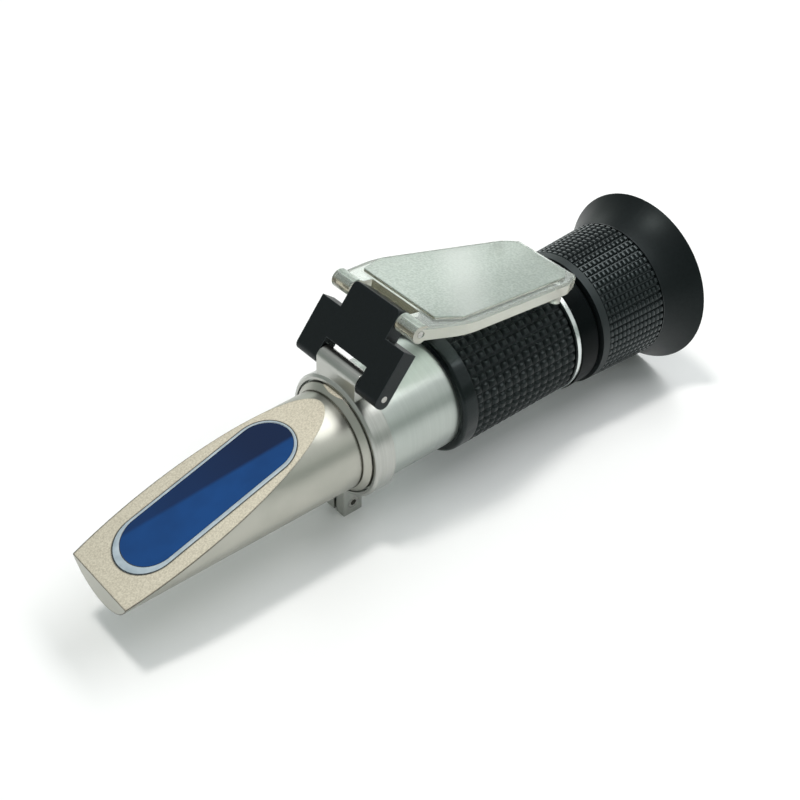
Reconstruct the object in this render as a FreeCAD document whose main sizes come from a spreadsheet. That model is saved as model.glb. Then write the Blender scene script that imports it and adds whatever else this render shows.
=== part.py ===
"""Handheld refractometer: prism nose, clamp ring with a two-pin hinge, tube and focusing eyepiece.

Millimetres, Z up. X runs along the optical axis towards the eyecup. Places are worked out from the
nose tip, and at the end every part moves so that the origin lies under the middle of the length, on
the surface that the instrument rests on. Every sketch point, radius and place is tied to the sheet.
"""
import FreeCAD
import Part
import math
import os
import Sketcher
from FreeCAD import Placement, Rotation, Vector

sizes = {
    # main tube: the clamp ring, the grip, the optics and the eyepiece are built up from it
    "tube_radius": 14.5,
    "tube_wall": 2.05,
    "tube_set_back": 1.6,
    "bare_length": 21.0,
    "set_screw_radius": 1.25,
    # prism housing: a slightly conical nose cut by a long slanted face
    "nose_length": 61.9,
    "nose_taper": 0.45,
    "nose_step": 1.5,
    "tip_height": 6.54,
    "face_margin": 1.65,
    "neck_width": 0.4,
    "neck_depth": 0.35,
    "shoulder_step": 1.6,
    "shoulder_bevel": 1.4,
    "shoulder_length": 3.1,
    "spigot_length": 13.0,
    "spigot_wall": 4.4,
    # prism window, measured along the slanted face
    "window_start": 5.0,
    "window_margin": 9.41,
    "window_edge": 3.9,
    "rebate_depth": 2.0,
    "bead_side": 0.7,
    "bead_front": 1.5,
    "bead_rear": 0.6,
    "prism_floor": 1.61,
    "prism_exit_back": 4.74,
    "prism_lip": 2.2,
    "light_gap": 10.5,
    # clamp ring, its ears and its hinge bracket
    "ring_width": 5.5,
    "ring_wall": 1.3,
    "ring_edge": 0.6,
    "ear_width": 6.8,
    "ear_split": 1.0,
    "clamp_screw_rise": 3.1,
    "clamp_screw_radius": 0.9,
    "clamp_head_radius": 1.55,
    "clamp_head_depth": 1.6,
    "bracket_width": 13.9,
    "bracket_knuckle_radius": 2.4,
    "hinge_rise": 3.0,
    # hinge link and its two pins
    "link_angle": 51.3,
    "link_pitch": 16.53,
    "link_thickness": 4.2,
    "link_toe": 2.55,
    "link_width": 28.7,
    "link_neck_width": 15.8,
    "link_tip": 2.1,
    "link_toe_rounding": 1.8,
    "link_tip_rounding": 1.3,
    "notch_gap": 1.5,
    "arm_gap": 4.95,
    "side_gap": 0.25,
    "pin_radius": 0.8,
    # daylight plate, lengths counted from its hinge pin
    "plate_short": 7.5,
    "plate_hinge_step": 0.15,
    "plate_shoulder": 12.0,
    "plate_bow": 2.5,
    "plate_narrowing": 4.4,
    "plate_tip_length": 4.5,
    "plate_tip_narrowing": 2.0,
    "plate_below": 1.6,
    "plate_above": 1.6,
    "plate_rest_gap": 1.45,
    "plate_tip_reach": 2.264,
    "plate_bevel": 0.5,
    "pad_rise": 0.7,
    "pad_inset": 2.0,
    "pad_start": 5.4,
    "knuckle_radius": 2.3,
    "knuckle_gap": 2.5,
    "foot_radius": 1.7,
    "foot_height": 2.4,
    "foot_from_end": 6.6,
    "foot_inset": 2.0,
    # grip and the bright ring behind it
    "grip_wall": 1.9,
    "grip_rounding": 1.0,
    "end_ring_width": 1.4,
    "end_ring_step": 0.3,
    # objective and reticle inside the tube
    "objective_gap": 5.6,
    "objective_wall": 2.8,
    "objective_edge": 0.9,
    "objective_bulge": 1.35,
    "flint_thickness": 2.2,
    "reticle_gap": 2.7,
    "reticle_wall": 3.4,
    "reticle_thickness": 1.5,
    "cell_lip": 0.9,
    "cell_lip_width": 1.2,
    "cell_recess": 1.5,
    "retainer_width": 1.5,
    # eyepiece barrel
    "barrel_spigot_length": 12.0,
    "barrel_spigot_wall": 1.2,
    "collar_width": 6.5,
    "collar_step": 0.3,
    "collar_bevel": 0.9,
    "sleeve_step": 2.0,
    "sleeve_wall": 2.42,
    "friction_ring_width": 1.0,
    "friction_ring_depth": 0.9,
    "friction_ring_place": 2.5,
    "snap_ring_gap": 2.0,
    "snap_ring_back": 2.0,
    "snap_ring_width": 0.8,
    "snap_ring_depth": 0.65,
    "guide_pin_radius": 1.0,
    # focusing ring and eyecup
    "focus_gap": 0.4,
    "focus_wall": 2.7,
    "focus_taper": 1.1,
    "focus_web": 9.9,
    "focus_spigot_length": 4.5,
    "focus_spigot_step": 3.0,
    "cup_length": 9.9,
    "cup_flare": 4.9,
    "cup_wall": 0.75,
    "cup_lip": 0.7,
    # sliding lens cell of the eyepiece
    "cell_wall": 1.5,
    "cell_travel": 2.0,
    "cell_end_gap": 1.9,
    "slot_wall": 0.3,
    "field_lens_edge": 1.2,
    "field_lens_bulge": 2.4,
    "eye_lens_edge": 1.0,
    "eye_lens_bulge": 2.4,
    # clearances shared by everything that fits together
    "seat_fit": 0.05,
    "running_fit": 0.08,
    "groove_fit": 0.2,
}


class Size(float):
    """A number that remembers the sheet formula it was worked out from."""

    def __new__(cls, value, formula):
        size = super().__new__(cls, value)
        size.formula = formula
        return size

    def __add__(self, other):
        return Size(float(self) + float(other), f"({self.formula} + {formulaOf(other)})")

    def __sub__(self, other):
        return Size(float(self) - float(other), f"({self.formula} - {formulaOf(other)})")

    def __mul__(self, other):
        return Size(float(self) * float(other), f"({self.formula} * {formulaOf(other)})")

    def __truediv__(self, other):
        return Size(float(self) / float(other), f"({self.formula} / {formulaOf(other)})")

    def __neg__(self):
        return Size(-float(self), f"(0 - {self.formula})")


def formulaOf(number):
    return getattr(number, "formula", repr(float(number)))


def cosine(angle):
    return Size(math.cos(math.radians(angle)), f"cos({formulaOf(angle)} * 1 deg)")


def sine(angle):
    return Size(math.sin(math.radians(angle)), f"sin({formulaOf(angle)} * 1 deg)")


def tangent(angle):
    return Size(math.tan(math.radians(angle)), f"tan({formulaOf(angle)} * 1 deg)")


def angleOfTangent(ratio):
    return Size(math.degrees(math.atan(ratio)), f"(atan({formulaOf(ratio)}) / 1 deg)")


def angleOfSine(ratio):
    return Size(math.degrees(math.asin(ratio)), f"(asin({formulaOf(ratio)}) / 1 deg)")


def root(number):
    return Size(math.sqrt(number), f"sqrt({formulaOf(number)})")


doc = FreeCAD.newDocument("refractometer")
sheet = doc.addObject("Spreadsheet::Sheet", "sheet")
for row, (name, value) in enumerate(sizes.items(), start=1):
    sheet.set(f"A{row}", name)
    sheet.set(f"B{row}", str(value))
    sheet.setAlias(f"B{row}", name)
doc.recompute()


class Sheet:
    """The named sizes as attributes: d.tube_radius is a Size tied to its cell."""

    def __getattr__(self, name):
        return Size(sizes[name], "sheet." + name)


d = Sheet()
zero = Size(0.0, "0")
parts = []


def tie(thing, path, size):
    """Bind one property of a document object to a Size's formula."""
    thing.setExpression(path, formulaOf(size))


# ---- sketches and features ---------------------------------------------------------------

def newBody(label):
    body = doc.addObject("PartDesign::Body", label)
    body.Label = label
    parts.append(body)
    return body


def newSketch(body, role, base=(zero, zero, zero), tilt=None):
    """A sketch on one origin plane of the body, moved by base and tilted up about the Y axis."""
    sketch = body.newObject("Sketcher::SketchObject", "Sketch")
    plane = [item for item in body.Origin.OriginFeatures if item.Role == role][0]
    sketch.AttachmentSupport = [(plane, "")]
    sketch.MapMode = "FlatFace"
    turn = Rotation(Vector(0, -1, 0), float(tilt)) if tilt is not None else Rotation()
    sketch.AttachmentOffset = Placement(Vector(*[float(b) for b in base]), turn)
    for axis, size in zip("xyz", base):
        tie(sketch, f"AttachmentOffset.Base.{axis}", size)
    if tilt is not None:
        tie(sketch, "AttachmentOffset.Rotation.Angle", tilt)
    return sketch


def pinPoint(sketch, geometry, position, point, tag):
    """Hold a sketch point at its distances from the sketch's origin."""
    for axis, kind, size in (("x", "DistanceX", point[0]), ("y", "DistanceY", point[1])):
        index = sketch.addConstraint(Sketcher.Constraint(kind, -1, 1, geometry, position, float(size)))
        sketch.renameConstraint(index, f"{axis}{tag}")
        tie(sketch, f"Constraints.{axis}{tag}", size)


def drawOutline(sketch, points):
    """A closed outline. A point is (x, y); a pair followed by "arc" is the middle of a curve."""
    corners = [p for p in points if len(p) == 2]
    edges = []
    for index, start in enumerate(points):
        if len(start) == 3:
            continue
        after = points[(index + 1) % len(points)]
        middle = after if len(after) == 3 else None
        end = points[(index + 2) % len(points)] if middle else after
        first, last = (Vector(float(p[0]), float(p[1]), 0) for p in (start, end))
        if middle:
            through = Vector(float(middle[0]), float(middle[1]), 0)
            forward = (through - first).cross(last - through).z > 0
            ends = (first, through, last) if forward else (last, through, first)
            edge = sketch.addGeometry(Part.ArcOfCircle(*ends), False)
            mark = sketch.addGeometry(Part.Point(through), True)
            pinPoint(sketch, mark, 1, middle, f"m{edge}")
            sketch.addConstraint(Sketcher.Constraint("PointOnObject", mark, 1, edge))
        else:
            edge = sketch.addGeometry(Part.LineSegment(first, last), False)
            forward = True
        edges.append((edge, forward))
    for number, (edge, forward) in enumerate(edges):
        nextEdge, nextForward = edges[(number + 1) % len(edges)]
        sketch.addConstraint(Sketcher.Constraint(
            "Coincident", edge, 2 if forward else 1, nextEdge, 1 if nextForward else 2))
        pinPoint(sketch, edge, 1 if forward else 2, corners[number], f"c{number}")
    return sketch


def drawCircle(sketch, centre, radius):
    place = Vector(float(centre[0]), float(centre[1]), 0)
    circle = sketch.addGeometry(Part.Circle(place, Vector(0, 0, 1), float(radius)), False)
    pinPoint(sketch, circle, 3, centre, f"c{circle}")
    index = sketch.addConstraint(Sketcher.Constraint("Radius", circle, float(radius)))
    sketch.renameConstraint(index, f"r{circle}")
    tie(sketch, f"Constraints.r{circle}", radius)
    return sketch


def feature(body, kind, sketch, **settings):
    made = body.newObject(f"PartDesign::{kind}", kind)
    made.Profile = sketch
    for name, value in settings.items():
        setattr(made, name, value)
    sketch.Visibility = False
    return made


def revolve(body, points, kind="Revolution"):
    """Turn an outline of (x along the axis, radius) points about the X axis."""
    sketch = drawOutline(newSketch(body, "XZ_Plane"), points)
    return feature(body, kind, sketch, ReferenceAxis=(sketch, ["H_Axis"]), Angle=360.0)


def pad(body, sketch, length, both=False, back=False, kind="Pad"):
    made = feature(body, kind, sketch, Midplane=both, Reversed=back)
    tie(made, "Length", length)
    return made


def roundEdges(body, base, radius, chosen, kind="Fillet"):
    """Round or bevel the edges of the body so far that the test picks."""
    doc.recompute()
    names = [f"Edge{n}" for n, edge in enumerate(base.Shape.Edges, start=1) if chosen(edge)]
    made = body.newObject(f"PartDesign::{kind}", kind)
    made.Base = (base, names)
    tie(made, "Radius" if kind == "Fillet" else "Size", radius)
    return made


def circleEdge(radius, place):
    """A test for the round edges of one radius at one place along the axis."""
    def chosen(edge):
        if not isinstance(edge.Curve, Part.Circle):
            return False
        return (abs(edge.Curve.Radius - float(radius)) < 0.01
                and abs(edge.CenterOfMass.x - float(place)) < 0.01)
    return chosen


def obround(start, end, half):
    """A slot outline from start to end along x with round ends of radius half."""
    return [(start + half, -half), (end - half, -half), (end, zero, "arc"),
            (end - half, half), (start + half, half), (start, zero, "arc")]


def cylinder(label, start, radius, length, axis=Vector(1, 0, 0)):
    """A Part cylinder that begins at start and runs along axis."""
    made = doc.addObject("Part::Cylinder", label)
    tie(made, "Radius", radius)
    tie(made, "Height", length)
    made.Placement = Placement(Vector(*[float(p) for p in start]), Rotation(Vector(0, 0, 1), axis))
    for name, size in zip("xyz", start):
        tie(made, f"Placement.Base.{name}", size)
    return made


def sphere(label, centre, radius):
    made = doc.addObject("Part::Sphere", label)
    tie(made, "Radius", radius)
    tie(made, "Placement.Base.x", centre)
    return made


def combine(kind, label, shapes):
    """A Part boolean that becomes a part under its own label."""
    made = doc.addObject(f"Part::{kind}", label)
    if kind == "Cut":
        made.Base, made.Tool = shapes
    elif kind == "Compound":
        made.Links = shapes
    else:
        made.Shapes = shapes
    made.Label = label
    parts.append(made)
    return made


def tube(label, start, length, outer, inner):
    """A plain turned ring."""
    body = newBody(label)
    return revolve(body, [(start, inner), (start + length, inner),
                          (start + length, outer), (start, outer)])


# ---- radii worked out from the sizes ------------------------------------------------------

tubeBore = d.tube_radius - d.tube_wall
innerFit = tubeBore - d.seat_fit
shoulderRadius = tubeBore + d.shoulder_step
noseRootRadius = shoulderRadius - d.nose_step
noseTipRadius = noseRootRadius - d.nose_taper
noseBore = innerFit - d.spigot_wall
ringRadius = d.tube_radius + d.ring_wall
gripRadius = d.tube_radius + d.grip_wall
endRingRadius = gripRadius + d.end_ring_step
collarRadius = endRingRadius + d.collar_step
sleeveRadius = collarRadius - d.sleeve_step
cellRadius = sleeveRadius - d.sleeve_wall - d.running_fit
cellBore = cellRadius - d.cell_wall
focusFrontRadius = sleeveRadius + d.focus_wall
focusRearRadius = focusFrontRadius + d.focus_taper
focusSpigotRadius = focusRearRadius - d.focus_spigot_step
rimRadius = focusRearRadius + d.cup_flare

# ---- slanted face, from its front edge to just before the neck ------------------------------

faceStart = d.tip_height - noseTipRadius
faceAngle = angleOfTangent((noseRootRadius - faceStart) / (d.nose_length - d.face_margin))
faceLength = (d.nose_length - d.face_margin) / cosine(faceAngle)
windowEnd = faceLength - d.window_margin
windowHalf = noseTipRadius - d.window_edge
prismFront = d.window_start + d.bead_front
prismRear = windowEnd - d.bead_rear
prismHalf = windowHalf - d.bead_side
prismDepth = d.tip_height + prismFront * sine(faceAngle) - d.prism_floor
prismExit = windowEnd * cosine(faceAngle) - d.prism_exit_back

# ---- places along the axis, from the nose to the eyecup -------------------------------------

neckRear = d.nose_length + d.neck_width
tubeFront = neckRear + d.shoulder_length
ringFront = tubeFront - d.tube_set_back
ringRear = ringFront + d.ring_width
gripFront = ringRear + d.bare_length
bracketFront = ringFront + d.ring_edge
hingeX = bracketFront + d.bracket_knuckle_radius
hingeZ = ringRadius + d.hinge_rise
plateX = hingeX + d.link_pitch * cosine(d.link_angle)
plateZ = hingeZ + d.link_pitch * sine(d.link_angle)

# the open plate leans back until the end of its underside hangs just above the barrel's collar
plateLength = faceLength - d.plate_short
plateDrop = plateZ - collarRadius - d.plate_rest_gap
plateDiagonal = root(plateLength * plateLength + d.plate_below * d.plate_below)
plateAngle = (angleOfTangent(d.plate_below / plateLength)
              - angleOfSine(plateDrop / plateDiagonal))
plateTipX = plateX + plateLength * cosine(plateAngle) + d.plate_below * sine(plateAngle)
gripEnd = plateTipX - d.plate_tip_reach

barrelFront = gripEnd + d.end_ring_width
sleeveStart = barrelFront + d.collar_width
focusFront = sleeveStart + d.focus_gap
frictionX = sleeveStart + d.friction_ring_place
cellStart = sleeveStart + d.cell_travel + d.cell_end_gap
slotReach = d.cell_travel + d.guide_pin_radius + d.groove_fit
guidePinX = cellStart + slotReach + d.slot_wall
snapRingX = guidePinX + d.guide_pin_radius + d.snap_ring_gap
sleeveEnd = snapRingX + d.snap_ring_back
focusEnd = sleeveEnd + d.focus_web
cupFloor = focusEnd + d.focus_spigot_length
cellEnd = cupFloor - d.cell_recess


# ---- prism housing, prism and its bead of sealant ----------------------------------------

def drawOnFace(body, points):
    """An outline on the slanted face, with x counted along it from its front edge."""
    sketch = newSketch(body, "XY_Plane", (zero, zero, faceStart), faceAngle)
    return drawOutline(sketch, points)


def makePrismHousing():
    body = newBody("prism_housing")
    neckRadius = noseRootRadius - d.neck_depth
    spigotEnd = tubeFront + d.spigot_length
    boreStart = prismExit - d.light_gap
    revolve(body, [
        (zero, zero), (zero, noseTipRadius), (d.nose_length, noseRootRadius),
        (d.nose_length, neckRadius), (neckRear, neckRadius),
        (neckRear, shoulderRadius - d.shoulder_bevel),
        (neckRear + d.shoulder_bevel, shoulderRadius), (tubeFront, shoulderRadius),
        (tubeFront, innerFit), (spigotEnd, innerFit),
        (spigotEnd, noseBore), (boreStart, noseBore), (boreStart, zero)])
    above = noseRootRadius * 2
    topX = (above - faceStart) / tangent(faceAngle)
    overrun = -d.window_start
    slant = newSketch(body, "XZ_Plane")
    drawOutline(slant, [(overrun, faceStart + overrun * tangent(faceAngle)),
                        (topX, above), (overrun, above)])
    pad(body, slant, noseRootRadius * 4, both=True, kind="Pocket")
    rebate = drawOnFace(body, obround(d.window_start, windowEnd, windowHalf))
    pad(body, rebate, d.rebate_depth, kind="Pocket")
    well = drawOnFace(body, obround(prismFront - d.seat_fit, prismRear + d.seat_fit,
                                    prismHalf + d.seat_fit))
    pad(body, well, prismDepth + d.seat_fit, kind="Pocket")


def makePrism():
    body = newBody("prism")
    top = drawOnFace(body, obround(prismFront, prismRear, prismHalf))
    pad(body, top, prismDepth, back=True)
    slope = tangent(faceAngle)
    lipZ = faceStart - d.prism_lip / cosine(faceAngle)
    endX = prismRear + prismDepth
    exitFace = newSketch(body, "XZ_Plane")
    drawOutline(exitFace, [(prismExit, lipZ + prismExit * slope), (endX, lipZ + endX * slope),
                           (endX, -noseRootRadius), (prismExit, -noseRootRadius)])
    pad(body, exitFace, noseRootRadius * 2, both=True, kind="Pocket")


def makePrismSeal():
    body = newBody("prism_seal")
    pad(body, drawOnFace(body, obround(d.window_start, windowEnd, windowHalf)),
        d.rebate_depth, back=True)
    pad(body, drawOnFace(body, obround(prismFront, prismRear, prismHalf)),
        d.rebate_depth, kind="Pocket")


# ---- clamp ring with its ears, split, bracket and screw ----------------------------------

screwZ = d.clamp_screw_rise - rimRadius


def makeClampRing():
    body = newBody("clamp_ring")
    ringPlane = (zero, zero, ringFront)
    disc = drawCircle(newSketch(body, "YZ_Plane", ringPlane), (zero, zero), ringRadius)
    ring = pad(body, disc, d.ring_width)
    roundEdges(body, ring, d.ring_edge, circleEdge(ringRadius, ringFront), "Chamfer")
    half = d.ear_width / 2
    ears = newSketch(body, "YZ_Plane", ringPlane)
    drawOutline(ears, [(-half, -rimRadius), (half, -rimRadius),
                       (half, -d.tube_radius), (-half, -d.tube_radius)])
    pad(body, ears, d.ring_width)
    bracket = newSketch(body, "XZ_Plane")
    bracketRear = hingeX + d.bracket_knuckle_radius
    drawOutline(bracket, [(bracketFront, d.tube_radius), (bracketRear, d.tube_radius),
                          (bracketRear, hingeZ), (bracketFront, hingeZ)])
    pad(body, bracket, d.bracket_width, both=True)
    knuckle = drawCircle(newSketch(body, "XZ_Plane"), (hingeX, hingeZ), d.bracket_knuckle_radius)
    pad(body, knuckle, d.bracket_width, both=True)
    bore = drawCircle(newSketch(body, "YZ_Plane", ringPlane), (zero, zero),
                      d.tube_radius + d.seat_fit)
    pad(body, bore, d.ring_width, back=True, kind="Pocket")
    split = newSketch(body, "YZ_Plane", ringPlane)
    drawOutline(split, [(-d.ear_split / 2, -rimRadius * 1.1),
                        (d.ear_split / 2, -rimRadius * 1.1),
                        (d.ear_split / 2, -noseBore), (-d.ear_split / 2, -noseBore)])
    pad(body, split, d.ring_width, back=True, kind="Pocket")
    pinHole = drawCircle(newSketch(body, "XZ_Plane"), (hingeX, hingeZ),
                         d.pin_radius + d.running_fit)
    pad(body, pinHole, d.bracket_width * 2, both=True, kind="Pocket")
    screwHole = drawCircle(newSketch(body, "XZ_Plane"), (hingeX, screwZ),
                           d.clamp_screw_radius)
    pad(body, screwHole, d.ear_width * 2, both=True, kind="Pocket")
    seat = newSketch(body, "XZ_Plane", (zero, zero, half - d.clamp_head_depth))
    drawCircle(seat, (hingeX, screwZ), d.clamp_head_radius + d.seat_fit)
    pad(body, seat, d.clamp_head_depth * 2, back=True, kind="Pocket")


def makeClampScrew():
    body = newBody("clamp_screw")
    head = newSketch(body, "XZ_Plane", (zero, zero, d.ear_width / 2 - d.clamp_head_depth))
    drawCircle(head, (hingeX, screwZ), d.clamp_head_radius)
    pad(body, head, d.clamp_head_depth - d.seat_fit)
    shank = newSketch(body, "XZ_Plane", (zero, zero, d.ear_width / 2 - d.clamp_head_depth))
    drawCircle(shank, (hingeX, screwZ), d.clamp_screw_radius)
    pad(body, shank, d.ear_width - d.clamp_head_depth, back=True)
    socket = newSketch(body, "XZ_Plane", (zero, zero, d.ear_width / 2))
    drawCircle(socket, (hingeX, screwZ), d.clamp_screw_radius * 0.9)
    pad(body, socket, d.clamp_head_depth * 0.7, kind="Pocket")


# ---- hinge link and pins -----------------------------------------------------------------

def placeOnHinge(body, base, angle):
    """Put a body modelled round its own hinge pin at that pin, turned up by angle about Y."""
    body.Placement = Placement(Vector(float(base[0]), 0, float(base[1])),
                               Rotation(Vector(0, -1, 0), float(angle)))
    tie(body, "Placement.Base.x", base[0])
    tie(body, "Placement.Base.z", base[1])
    tie(body, "Placement.Rotation.Angle", angle)


def makeHingeLink():
    """A flat cross: two arms astride the bracket, a neck between the plate's knuckles."""
    body = newBody("hinge_link")
    arm = d.link_width / 2
    neck = d.link_neck_width / 2
    notch = d.bracket_width / 2 + d.side_gap
    notchEnd = d.bracket_knuckle_radius + d.notch_gap
    toe = -d.link_toe
    armEnd = d.link_pitch - d.arm_gap
    tip = d.link_pitch + d.link_tip
    outline = newSketch(body, "XY_Plane", (zero, zero, -d.link_thickness / 2))
    drawOutline(outline, [(toe, notch), (notchEnd, notch), (notchEnd, -notch), (toe, -notch),
                          (toe, -arm), (armEnd, -arm), (armEnd, -neck), (tip, -neck),
                          (tip, neck), (armEnd, neck), (armEnd, arm), (toe, arm)])
    plate = pad(body, outline, d.link_thickness)

    def upright(x, y):
        return lambda edge: (abs(edge.CenterOfMass.x - float(x)) < 0.01
                             and abs(abs(edge.CenterOfMass.y) - float(y)) < 0.01
                             and edge.BoundBox.ZLength > 1)

    def crossing(x):
        return lambda edge: (abs(edge.CenterOfMass.x - float(x)) < 0.01
                             and edge.BoundBox.YLength > 1)

    toes = roundEdges(body, plate, d.link_toe_rounding, crossing(toe))
    roundEdges(body, toes, d.link_tip_rounding, upright(tip, neck))
    for place in (zero, d.link_pitch):
        hole = drawCircle(newSketch(body, "XZ_Plane"), (place, zero), d.pin_radius)
        pad(body, hole, d.link_width * 2, both=True, kind="Pocket")
    placeOnHinge(body, (hingeX, hingeZ), d.link_angle)


plateHinge = d.link_width / 2 - d.plate_hinge_step


def makeHingePins():
    lower = cylinder("lower_hinge_pin", (hingeX, -d.link_width / 2, hingeZ),
                     d.pin_radius, d.link_width, Vector(0, 1, 0))
    upper = cylinder("upper_hinge_pin", (plateX, -plateHinge, plateZ),
                     d.pin_radius, plateHinge * 2, Vector(0, 1, 0))
    parts.extend([lower, upper])


# ---- daylight plate ----------------------------------------------------------------------

plateHalf = plateHinge + d.plate_bow
plateEndHalf = plateHalf - d.plate_narrowing
plateEnd = plateLength - d.plate_tip_length


def plateOutline(inset, start):
    """Half-bowed outline of the plate, pulled in by inset, beginning at start."""
    side = [(start, plateHinge - inset), (d.plate_shoulder, plateHalf - inset),
            (plateEnd, plateEndHalf - inset),
            (plateLength - inset, plateEndHalf - d.plate_tip_narrowing - inset)]
    return [(x, -y) for x, y in side] + list(reversed(side))


def makeDaylightPlate():
    """Clear plate with a raised frosted pad, hung on two knuckles and standing on two feet."""
    body = newBody("daylight_plate")
    slab = newSketch(body, "XY_Plane", (zero, zero, -d.plate_below))
    drawOutline(slab, plateOutline(zero, zero))
    base = pad(body, slab, d.plate_below + d.plate_above)

    def corner(x, y):
        return lambda edge: (abs(edge.CenterOfMass.x - float(x)) < 0.01
                             and abs(abs(edge.CenterOfMass.y) - float(y)) < 0.01)

    bowed = roundEdges(body, base, plateLength / 2, corner(d.plate_shoulder, plateHalf))
    ended = roundEdges(body, bowed, plateEndHalf / 4, corner(plateEnd, plateEndHalf))

    def upperSide(edge):
        box = edge.BoundBox
        return (box.ZMin > float(d.plate_above) - 0.01 and box.XLength > float(plateLength) / 4)

    roundEdges(body, ended, d.plate_bevel, upperSide, "Chamfer")
    raised = newSketch(body, "XY_Plane", (zero, zero, d.plate_above))
    drawOutline(raised, plateOutline(d.pad_inset, d.pad_start))
    pad(body, raised, d.pad_rise)
    knuckles = drawCircle(newSketch(body, "XZ_Plane"), (zero, zero), d.knuckle_radius)
    pad(body, knuckles, plateHinge * 2, both=True)
    half = d.link_neck_width / 2 + d.side_gap
    reach = d.link_tip + d.knuckle_gap
    before = -d.knuckle_radius * 2
    gap = newSketch(body, "XY_Plane", (zero, zero, before))
    drawOutline(gap, [(before, -half), (reach, -half), (reach, half), (before, half)])
    pad(body, gap, d.knuckle_radius * 4, back=True, kind="Pocket")
    for side in (1, -1):
        foot = newSketch(body, "XY_Plane", (zero, zero, -d.plate_below))
        drawCircle(foot, (plateLength - d.foot_from_end, (plateEndHalf - d.foot_inset) * side),
                   d.foot_radius)
        pad(body, foot, d.foot_height, back=True)
    pinHole = drawCircle(newSketch(body, "XZ_Plane"), (zero, zero), d.pin_radius + d.running_fit)
    pad(body, pinHole, plateHinge * 4, both=True, kind="Pocket")
    placeOnHinge(body, (plateX, plateZ), plateAngle)


# ---- tube, grip and end ring -------------------------------------------------------------

def makeMainTube():
    body = newBody("main_tube")
    wall = revolve(body, [(tubeFront, tubeBore), (gripEnd, tubeBore),
                          (gripEnd, d.tube_radius), (tubeFront, d.tube_radius)])
    hole = drawCircle(newSketch(body, "XY_Plane"), (hingeX, zero), d.set_screw_radius)
    bored = pad(body, hole, d.tube_radius * 1.1, back=True, kind="Pocket")
    pattern = body.newObject("PartDesign::PolarPattern", "PolarPattern")
    pattern.Originals = [bored]
    pattern.Axis = (wall.Profile[0], ["H_Axis"])
    pattern.Angle = 360.0
    pattern.Occurrences = 3
    body.Tip = pattern


def makeSetScrews():
    """Three grub screws under the clamp ring that hold the housing's spigot in the tube."""
    screws = []
    for number in range(3):
        turn = 90 + 120 * number
        axis = Vector(0, math.cos(math.radians(turn)), math.sin(math.radians(turn)))
        start = (hingeX, innerFit * axis.y, innerFit * axis.z)
        screws.append(cylinder(f"set_screw_{number}", start, d.set_screw_radius,
                               d.tube_radius - innerFit - d.seat_fit * 2, axis))
    combine("Compound", "housing_set_screws", screws)


def makeGripSleeve():
    body = newBody("grip_sleeve")
    bore = d.tube_radius + d.seat_fit
    sleeve = revolve(body, [(gripFront, bore), (gripEnd, bore),
                            (gripEnd, gripRadius), (gripFront, gripRadius)])
    roundEdges(body, sleeve, d.grip_rounding, circleEdge(gripRadius, gripFront))


# ---- optics in the tube ------------------------------------------------------------------

def makeCell(label, start, stack, lensRadius):
    """A lens cell: a turned ring with a lip at its front, long enough for its stack of parts."""
    body = newBody(label)
    lip = start + d.cell_lip_width
    end = lip + stack + d.retainer_width + d.cell_recess
    return revolve(body, [(start, lensRadius - d.cell_lip), (lip, lensRadius - d.cell_lip),
                          (lip, lensRadius + d.seat_fit), (end, lensRadius + d.seat_fit),
                          (end, innerFit), (start, innerFit)])


def curveOf(radius, bulge):
    """Radius of the sphere that bulges so far over a lens of this radius."""
    return (radius * radius + bulge * bulge) / (bulge * 2)


def seatOf(radius, bulge):
    """How far a bulged face reaches past its rim at the inner edge of the ring it rests on."""
    curve = curveOf(radius, bulge)
    inner = radius - d.cell_lip
    return bulge - curve + root(curve * curve - inner * inner)


def makeLens(label, rim, edge, radius, frontBulge, rearBulge):
    """A lens whose rim begins at rim and is edge thick. Its faces bulge past the rim as spheres."""
    front = rim - frontBulge
    rear = rim + edge + rearBulge
    shapes = [cylinder(label + "_blank", (front, zero, zero), radius, rear - front)]
    if frontBulge > 0:
        curve = curveOf(radius, frontBulge)
        shapes.append(sphere(label + "_front", front + curve, curve))
    curve = curveOf(radius, rearBulge)
    shapes.append(sphere(label + "_rear", rear - curve, curve))
    combine("MultiCommon", label, shapes)


def makeObjective():
    """A cemented pair: the crown lens rests on the lip and the hollow flint lens on the crown."""
    radius = innerFit - d.objective_wall
    start = tubeFront + d.spigot_length + d.objective_gap
    seat = seatOf(radius, d.objective_bulge)
    rim = start + d.cell_lip_width + seat
    flintRim = rim + d.objective_edge
    flintLength = d.objective_bulge + d.flint_thickness
    makeCell("objective_cell", start, seat + d.objective_edge + flintLength, radius)
    makeLens("objective_crown_lens", rim, d.objective_edge, radius,
             d.objective_bulge, d.objective_bulge)
    curve = curveOf(radius, d.objective_bulge)
    blank = cylinder("flint_blank", (flintRim, zero, zero), radius, flintLength)
    hollow = sphere("flint_hollow", flintRim + d.objective_bulge - curve, curve)
    combine("Cut", "objective_flint_lens", [blank, hollow])
    tube("objective_retainer", flintRim + flintLength, d.retainer_width,
         radius, radius - d.cell_lip)


def makeReticle():
    """The scale's glass disc and its cell, just in front of the eyepiece barrel's spigot."""
    radius = innerFit - d.reticle_wall
    stack = d.cell_lip_width + d.reticle_thickness + d.retainer_width + d.cell_recess
    start = barrelFront - d.barrel_spigot_length - d.reticle_gap - stack
    front = start + d.cell_lip_width
    makeCell("reticle_cell", start, d.reticle_thickness, radius)
    parts.append(cylinder("reticle", (front, zero, zero), radius, d.reticle_thickness))
    tube("reticle_retainer", front + d.reticle_thickness, d.retainer_width,
         radius, radius - d.cell_lip)


# ---- eyepiece: fixed barrel, turning ring, sliding lens cell -----------------------------

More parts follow.
